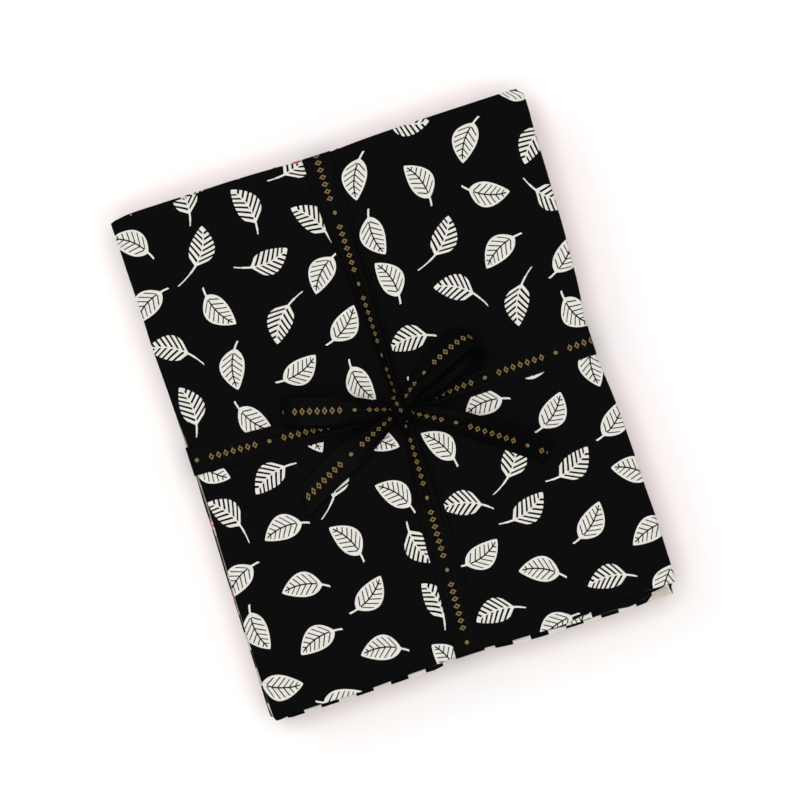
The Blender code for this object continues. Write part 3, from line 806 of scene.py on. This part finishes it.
# The upper runs from edge to edge (mm): how far along, where the centre is, the width there, and how far the
# printed line lies off the centre, where one side of the ribbon is gathered more than the other.
Run = namedtuple("Run", "along centre width lean", defaults=(0.0,))
ALONG_RUN = [Run(*row) for row in (
    (-125, -2.7, 15.3), (-105, -1.7, 15.3), (-85, -0.75, 15.3), (-70, -0.1, 15.2, 0.2),
    (-60, 0.55, 14.8, 0.4), (-50, 1.5, 13.6, 0.9), (-40, 2.25, 12.2, 1.3), (-30, 2.75, 10.9, 1.5),
    (-20, 3.0, 9.8, 1.5), (-4, 1.8, 8.0, 0.5), (8, 2.6, 5.5, 1.3), (14, 2.5, 6.6, 1.6),
    (27, 2.9, 8.6, 2.1), (46, 3.0, 9.8, 2.1), (60, 2.4, 11.8, 1.6), (85, 1.25, 13.9, 0.45),
    (105, 0.5, 15.3), (125, 0.0, 15.3),
)]
ACROSS_RUN = [Run(*row) for row in (
    (-100, 3.0, 15.3), (-80, 2.0, 15.3), (-61, 0.9, 15.3), (-40, -0.7, 14.6), (-18, -2.6, 13.0),
    (1, -3.7, 10.5), (20, -2.9, 13.0), (50, -1.7, 15.0), (62, -0.95, 15.3), (93, -0.6, 15.3),
)]

# The bow (mm and degrees): sections of each loop and tail from the knot outwards. roll tips the left edge
# up, as seen from the knot, and slant is how far the left edge runs ahead of the right one at a cut end.
Section = namedtuple("Section", "x y lift width roll slant", defaults=(0.0, 0.0))
LEFT_LOOP = [Section(*row) for row in (
    (-1.5, -2.8, 6.0, 8.0), (-9.0, -0.6, 7.6, 9.0), (-18.0, 2.2, 10.0, 12.5),
    (-31.0, 6.0, 12.2, 15.9, 4), (-45.0, 10.0, 12.8, 15.9, 4),
    (-53.0, 12.3, 11.6, 15.9, 2), (-57.2, 13.5, 9.3, 15.9), (-58.6, 13.7, 6.6, 15.9),
    (-56.5, 12.7, 4.2, 15.9), (-50.0, 10.3, 3.2, 15.9), (-36.0, 5.8, 2.9, 15.9),
    (-21.0, 1.6, 2.9, 13.0), (-9.0, -1.6, 3.2, 9.0), (-1.5, -3.2, 4.0, 8.0),
)]
RIGHT_LOOP = [Section(*row) for row in (
    (3.5, -1.0, 6.5, 8.0, -20), (11.4, 5.4, 9.0, 10.0, -30), (20.1, 11.0, 11.6, 13.5, -35),
    (30.2, 16.2, 13.2, 15.9, -35), (40.0, 20.4, 13.0, 15.9, -34),
    (46.5, 21.8, 11.4, 15.9, -32), (50.4, 19.6, 8.4, 15.9, -28),
    (49.6, 16.0, 5.2, 15.9, -20), (44.5, 12.0, 3.6, 15.9, -12),
    (35.3, 7.4, 3.0, 14.5, -10), (24.0, 2.6, 2.9, 12.0, -8), (12.5, -1.0, 3.3, 9.0, -4),
    (3.5, -3.0, 4.0, 8.0),
)]
LEFT_TAIL = [Section(*row) for row in (
    (0.0, -4.6, 4.6, 8.0), (-9.0, -8.6, 3.6, 9.5), (-20.0, -13.6, 2.6, 13.0),
    (-33.0, -19.6, 2.0, 15.9), (-48.0, -27.0, 1.7, 15.9), (-62.1, -34.4, 1.6, 15.9, 0, 10.0),
)]
RIGHT_TAIL = [Section(*row) for row in (
    (3.0, -5.0, 4.6, 8.0), (10.0, -9.3, 5.0, 9.5, 10), (18.5, -14.2, 5.0, 12.0, 20),
    (29.5, -20.8, 5.6, 15.0, 30), (44.0, -31.0, 5.8, 15.9, 35),
    (57.0, -40.6, 5.6, 15.9, 35), (69.0, -49.9, 5.4, 15.9, 33, 1.0),
)]
SECTION_STEP = 1.2 * MM
KNOT_CENTRE = (1.3, -3.7)
KNOT_TURN_DEG = 12
KNOT_WIDTH = 8.5 * MM
KNOT_LENGTH = 15.0 * MM
KNOT_HEIGHT = 8.6 * MM
KNOT_LIFT = 1.2 * MM
KNOT_FLARE = 0.25
KNOT_STEPS = 48
HUMP_REACH = 9 * MM
HUMP_UNDER_KNOT = 1.2 * MM
SLANT_ROWS = 12
LEFT_TAIL_CUP = 0.3 * MM
RIGHT_TAIL_CUP = 0.5 * MM
LOOP_CUP = 0.6 * MM
KNOT_CUP = 0.8 * MM


def cloth_level(x, y):
    """Height of the top of the tied stack at x, y."""
    return float(STACK_HEIGHT - TOP_DIP * pressed_share(np.array(x), np.array(y)))


def pleated(v, width):
    """How high the section stands at v, from -1 to 1 across it, where all of it is gathered into width."""
    spare = math.sqrt(max(RIBBON_WIDTH**2 - width**2, 0.0)) / (2 * PLEATS)
    return PLEAT_SHARE * spare * (0.5 - 0.5 * np.cos(math.pi * PLEATS * (v + 1.0) + PLEAT_SKEW * v))


class RibbonMesh:
    """Collects the ribbon's strips, so that they become one piece."""

    def __init__(self):
        self.points, self.quads, self.cut_places, self.length = [], [], [], 0.0

    def lay(self, sections, cup=0.0):
        """Adds a strip through sections of (middle, side, normal, width, lean)."""
        v = np.linspace(-1, 1, ACROSS_STEPS + 1)
        first = len(self.points)
        along = self.length
        for at, (middle, side, normal, width, lean) in enumerate(sections):
            if at:
                along += (middle - sections[at - 1][0]).length
            heights = pleated(v, width) - cup * v**2
            for place, height in zip(v, heights):
                aside = place * width / 2 + lean * (1 - place**2)
                self.points.append(tuple(middle + side * aside + normal * float(height)))
                self.cut_places.append((along, place * RIBBON_WIDTH / 2))
        across = ACROSS_STEPS + 1
        for row in range(len(sections) - 1):
            for column in range(ACROSS_STEPS):
                at = first + row * across + column
                self.quads.append((at, at + across, at + across + 1, at + 1))
        self.length = along


# The satin's floats are about 0.1 mm apart, which is too fine to show, so its ribs are drawn coarser. They
# and the print are in mm.
SATIN_BLACK = "#070707"
GOLD = "#7C6640"
RIB_RELIEF = 0.05 * MM
DRAWN_RIB_SPACING = 0.9
SELVEDGE_FROM = 7.2
SELVEDGE_HEIGHT = 1.5
MARK_PITCH = 4.0
MARKS_IN_GROUP = 7
DOT_NUMBER = 8
STEPS_IN_GROUP = 10
LOZENGE_HALF_HEIGHT = 2.1
LOZENGE_HOLLOW = 0.95
LOZENGE_SLOPE = 1.45
DOT_RADIUS = 1.1


def satin_face(name, printed):
    """Black polyester satin: fine close floats give a soft sheen. The printed face has marks in matt gold."""
    material, tree, shader, place = cloth_material(name)
    split = add(tree, "SeparateXYZ", [place])
    across = add(tree, "Math", [split.outputs[1]], "ABSOLUTE")
    ribs = add(tree, "Math", [split.outputs[0], 2 * math.pi / DRAWN_RIB_SPACING], "MULTIPLY")
    weft = add(tree, "Math", [ribs], "SINE")
    selvedge = add(tree, "Math", [across, SELVEDGE_FROM], "GREATER_THAN")
    relief = add(tree, "Math", [selvedge, SELVEDGE_HEIGHT, weft], "MULTIPLY_ADD")
    bump = add(tree, "Bump", {"Height": relief, "Strength": 0.35, "Distance": RIB_RELIEF})
    wire(tree, shader, {"Normal": bump, "Base Color": linear(SATIN_BLACK), "Roughness": 0.42, "IOR": 1.5,
                        "Specular IOR Level": 0.012, "Sheen Weight": 0.005, "Sheen Roughness": 0.4})
    if not printed:
        return material

    # Groups of seven upright hollow lozenges, parted by one dot with a gap on either side of it.
    group_length = STEPS_IN_GROUP * MARK_PITCH
    group = add(tree, "Math", [split.outputs[0], group_length], "FLOORED_MODULO")
    step = add(tree, "Math", [group, MARK_PITCH], "DIVIDE")
    number = add(tree, "Math", [step], "FLOOR")
    inside = add(tree, "Math", [step, number], "SUBTRACT")
    off = add(tree, "Math", [inside, 0.5], "SUBTRACT")
    from_middle = add(tree, "Math", [off, MARK_PITCH], "MULTIPLY")
    x = add(tree, "Math", [from_middle], "ABSOLUTE")
    lean = add(tree, "Math", [x, LOZENGE_SLOPE, across], "MULTIPLY_ADD")
    lozenge = add(tree, "Math", [lean, LOZENGE_HALF_HEIGHT], "LESS_THAN")
    hollow = add(tree, "Math", [lean, LOZENGE_HOLLOW], "GREATER_THAN")
    ring = add(tree, "Math", [lozenge, hollow], "MULTIPLY")
    is_mark = add(tree, "Math", [number, MARKS_IN_GROUP - 0.5], "LESS_THAN")
    marks = add(tree, "Math", [ring, is_mark], "MULTIPLY")
    flat = add(tree, "CombineXYZ", [x, across])
    out = add(tree, "VectorMath", [flat], "LENGTH")
    dot = add(tree, "Math", [out, DOT_RADIUS], "LESS_THAN")
    is_dot = add(tree, "Math", [number, DOT_NUMBER, 0.5], "COMPARE")
    spots = add(tree, "Math", [dot, is_dot], "MULTIPLY")
    gold = add(tree, "Math", [marks, spots], "MAXIMUM")
    colour = add(tree, "Mix", {0: gold, 6: linear(SATIN_BLACK), 7: linear(GOLD)}, data_type="RGBA")
    wire(tree, shader, {"Base Color": colour})
    return material


def smoothed(table):
    """Sections on a smooth curve through all of a table's, about SECTION_STEP apart."""
    for at in range(len(table) - 1):
        before, start, end, after = (table[max(0, min(at + step, len(table) - 1))] for step in (-1, 0, 1, 2))
        span = math.dist(start[:3], end[:3]) * MM
        steps = max(2, math.ceil(span / SECTION_STEP))
        for part in range(steps):
            t = part / steps
            weights = (
                (-t + 2 * t**2 - t**3) / 2, (2 - 5 * t**2 + 3 * t**3) / 2,
                (t + 4 * t**2 - 3 * t**3) / 2, (-(t**2) + t**3) / 2,
            )
            rows = zip(before, start, end, after)
            yield Section(*(sum(w * value for w, value in zip(weights, column)) for column in rows))
    yield table[-1]


def free_strip(ribbon, table, cup):
    """Adds a loop or tail of the bow, swept through its table of sections."""
    rows = list(smoothed(table))
    points = []
    for row in rows:
        x, y = row.x * MM, row.y * MM
        points.append(Vector((x, y, cloth_level(x, y) + row.lift * MM)))
    tip = max(points, key=lambda point: (point - points[0]).length)
    away = (tip - points[0]).to_2d().normalized()
    left = Vector((-away.y, away.x, 0.0))
    sections = []
    for at, row in enumerate(rows):
        roll = math.radians(row.roll)
        side = left * math.cos(roll) + Vector((0.0, 0.0, math.sin(roll)))
        travel = (points[min(at + 1, len(rows) - 1)] - points[max(at - 1, 0)]).normalized()
        lead = travel * (rows[-1].slant / row.width * max(0.0, 1 - (len(rows) - 1 - at) / SLANT_ROWS))
        sections.append((points[at], side + lead, travel.cross(side).normalized(), row.width * MM, 0.0))
    ribbon.lay(sections, cup)


def run_rows(runs, low, high, low_centre, high_centre):
    """Smooth rows of (place, centre, width, lean) along an upper run, from edge to edge."""
    table = [(low, low_centre, RIBBON_WIDTH, 0.0)]
    table += [tuple(value * MM for value in run) for run in runs]
    table += [(high, high_centre, RIBBON_WIDTH, 0.0)]
    table = np.array(table)
    places = np.arange(low, high, RUN_STEP)
    kernel = np.hanning(RUN_SMOOTHING) / np.hanning(RUN_SMOOTHING).sum()
    columns = []
    for column in (1, 2, 3):
        values = np.interp(places, table[:, 0], table[:, column])
        columns.append(np.convolve(np.pad(values, RUN_SMOOTHING // 2, mode="edge"), kernel, mode="valid"))
    return list(zip(places, *columns))


def band(ribbon, low, high, low_centre, high_centre, runs, to_world, hump):
    """Adds the ribbon once round the stack, from below the low edge over the top and back below.

    u runs from edge to edge, and to_world gives x, y, z for u, sideways, z. hump is how high it rises in the
    middle, over the other run.
    """
    radius = CORNER_RADIUS + RIBBON_THICK / 2
    low_u, high_u = low + CORNER_RADIUS, high - CORNER_RADIUS
    top = RIBBON_LIFT + RIBBON_THICK / 2
    bottom_z = RIBBON_THICK / 2 + FLOOR_GAP
    side_vector = Vector((0, 0, 1)).cross(to_world(1, 0, 0))
    sections = []

    def put(u, sideways, z, width, out, lean=0.0):
        sections.append((to_world(u, sideways, z), side_vector, to_world(out[0], 0, out[1]), width, lean))

    def corner(u, z, centre, start_deg):
        for step in range(CORNER_STEPS + 1):
            angle = math.radians(start_deg - 90 * step / CORNER_STEPS)
            out = (math.cos(angle), math.sin(angle))
            put(u + radius * out[0], centre, z + radius * out[1], RIBBON_WIDTH, out)

    def level(u, sideways):
        x, y = to_world(u, sideways, 0)[:2]
        return cloth_level(x, y) + top + hump * math.exp(-((u / HUMP_REACH) ** 2))

    centre_z = level(low_u, low_centre) - radius
    corner(low_u, centre_z, low_centre, 180)
    rows = run_rows(runs, low_u + RUN_STEP, high_u - RUN_STEP, low_centre, high_centre)
    for u, centre, width, lean in rows:
        put(u, centre, level(u, centre), width, (0.0, 1.0), lean)
    corner(high_u, level(high_u, high_centre) - radius, high_centre, 90)
    corner(high_u, bottom_z + radius, high_centre, 0)
    for share in np.linspace(0, 1, STEPS_BELOW + 1)[1:-1]:
        u, centre = between(high_u, low_u, share), between(high_centre, low_centre, share)
        put(u, centre, bottom_z, RIBBON_WIDTH, (0.0, -1.0))
    corner(low_u, bottom_z + radius, low_centre, -90)
    put(low_u - radius, low_centre, centre_z, RIBBON_WIDTH, (-1.0, 0.0))
    ribbon.lay(sections)


def stack_reach(edge, side, centre):
    """How far out the stack goes on one side, over the stretch of its edge that the ribbon crosses."""
    places = centre + np.linspace(-RIBBON_WIDTH / 2, RIBBON_WIDTH / 2, 5)
    return side * (max(float(np.max(side * edge(lie, side, places))) for lie in LIES) + EDGE_CLEARANCE)


def knot_wrap(ribbon):
    """Adds the wrap over the knot, from its far side over the top to its near side and back below."""
    x, y = KNOT_CENTRE[0] * MM, KNOT_CENTRE[1] * MM
    base = cloth_level(x, y) + KNOT_LIFT
    turn = math.radians(KNOT_TURN_DEG)
    along = Vector((-math.sin(turn), math.cos(turn), 0.0))
    side = Vector((math.cos(turn), math.sin(turn), 0.0))
    middle = Vector((x, y, base + KNOT_HEIGHT / 2))
    sections = []
    for angle in np.linspace(0, 2 * math.pi, KNOT_STEPS + 1):
        out = along * math.cos(angle) * KNOT_LENGTH / 2 + Vector((0, 0, math.sin(angle) * KNOT_HEIGHT / 2))
        normal = along * math.cos(angle) * KNOT_HEIGHT + Vector((0, 0, math.sin(angle) * KNOT_LENGTH))
        flare = KNOT_WIDTH * (1.0 + KNOT_FLARE * abs(math.cos(angle)) ** 3)
        sections.append((middle + out, side, normal.normalized(), flare, 0.0))
    ribbon.lay(sections, KNOT_CUP)


ribbon = RibbonMesh()
near = stack_reach(end_edge, -1, ALONG_X_AT_NEAR_EDGE)
far = stack_reach(end_edge, 1, ALONG_X_AT_FAR_EDGE)
left = stack_reach(side_edge, -1, ACROSS_Y_AT_LEFT_EDGE)
right = stack_reach(side_edge, 1, ACROSS_Y_AT_RIGHT_EDGE)
free_strip(ribbon, LEFT_TAIL, LEFT_TAIL_CUP)
band(ribbon, left, right, ACROSS_Y_AT_LEFT_EDGE, ACROSS_Y_AT_RIGHT_EDGE, ACROSS_RUN,
     lambda u, sideways, z: Vector((u, sideways, z)), 0.0)
band(ribbon, near, far, ALONG_X_AT_NEAR_EDGE, ALONG_X_AT_FAR_EDGE, ALONG_RUN,
     lambda u, sideways, z: Vector((sideways, u, z)), HUMP_UNDER_KNOT)
free_strip(ribbon, LEFT_LOOP, LOOP_CUP)
knot_wrap(ribbon)
free_strip(ribbon, RIGHT_LOOP, LOOP_CUP)
free_strip(ribbon, RIGHT_TAIL, RIGHT_TAIL_CUP)

satins = [satin_face(f"black_satin_{side}", side == "printed") for side in ("printed", "plain", "edge")]
ribbon_cloth = thin_cloth("ribbon_cloth", ribbon.points, ribbon.quads, ribbon.cut_places, RIBBON_THICK,
                          satins)
ribbon_cloth.location = BUNDLE_SHIFT
ribbon_cloth.data.shade_smooth()
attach(ribbon_cloth, "root")
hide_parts("ribbon")

# --- The studio --------------------------------------------------------------------------------------------
# A plain pale floor under large soft lights, and a camera straight above the bundle, far off, so that no
# side of the stack shows.

FLOOR_SIZE = 8.0
PHOTO_PIXELS = 800
PIXEL = 0.533 * MM
FRAME_WIDTH = PHOTO_PIXELS * PIXEL
FRAME_CENTRE = Vector((2.8 * MM, 0.9 * MM, STACK_HEIGHT))
BUNDLE_TURN_DEG = -17.9
LENS = 250.0
SENSOR = 36.0

half = FLOOR_SIZE / 2
floor_mesh = bpy.data.meshes.new("floor")
floor_corners = [(-half, -half, 0), (half, -half, 0), (half, half, 0), (-half, half, 0)]
floor_mesh.from_pydata(floor_corners, [], [(0, 1, 2, 3)])
floor = bpy.data.objects.new("floor", floor_mesh)
bpy.context.scene.collection.objects.link(floor)
paper = bpy.data.materials.new("matt_white_paper")
paper.use_nodes = True
paper_shader = paper.node_tree.nodes["Principled BSDF"]
wire(paper.node_tree, paper_shader, {"Base Color": linear("#FBFBFA"), "Roughness": 1.0})
floor_mesh.materials.append(paper)

world = bpy.data.worlds.new("studio")
world.use_nodes = True
wire(world.node_tree, world.node_tree.nodes["Background"], {"Color": linear("#FFFFFF"), "Strength": 0.45})
bpy.context.scene.world = world


def softbox(name, place, size, power):
    """A square area light aimed at the bundle, which the camera doesn't see."""
    data = bpy.data.lights.new(name, "AREA")
    data.size = size
    data.energy = power
    lamp = bpy.data.objects.new(name, data)
    lamp.location = place
    lamp.rotation_euler = (-Vector(place)).to_track_quat("-Z", "Y").to_euler()
    lamp.visible_camera = False
    bpy.context.scene.collection.objects.link(lamp)


softbox("overhead_light", (0.0, 0.0, 2.0), 1.2, 24.0)
softbox("key_light", (-1.1, 1.2, 1.5), 1.4, 9.0)
softbox("fill_light", (1.4, -0.9, 1.3), 1.6, 3.0)

view = bpy.data.cameras.new("camera")
view.lens = LENS
view.sensor_width = SENSOR
camera = bpy.data.objects.new("camera", view)
distance = FRAME_WIDTH * LENS / SENSOR
camera.location = FRAME_CENTRE + Vector(BUNDLE_SHIFT) + Vector((0, 0, distance))
camera.rotation_euler = (0.0, 0.0, math.radians(BUNDLE_TURN_DEG))
view.clip_end = 20.0
bpy.context.scene.collection.objects.link(camera)
bpy.context.scene.camera = camera
bpy.context.scene.view_settings.view_transform = "Standard"
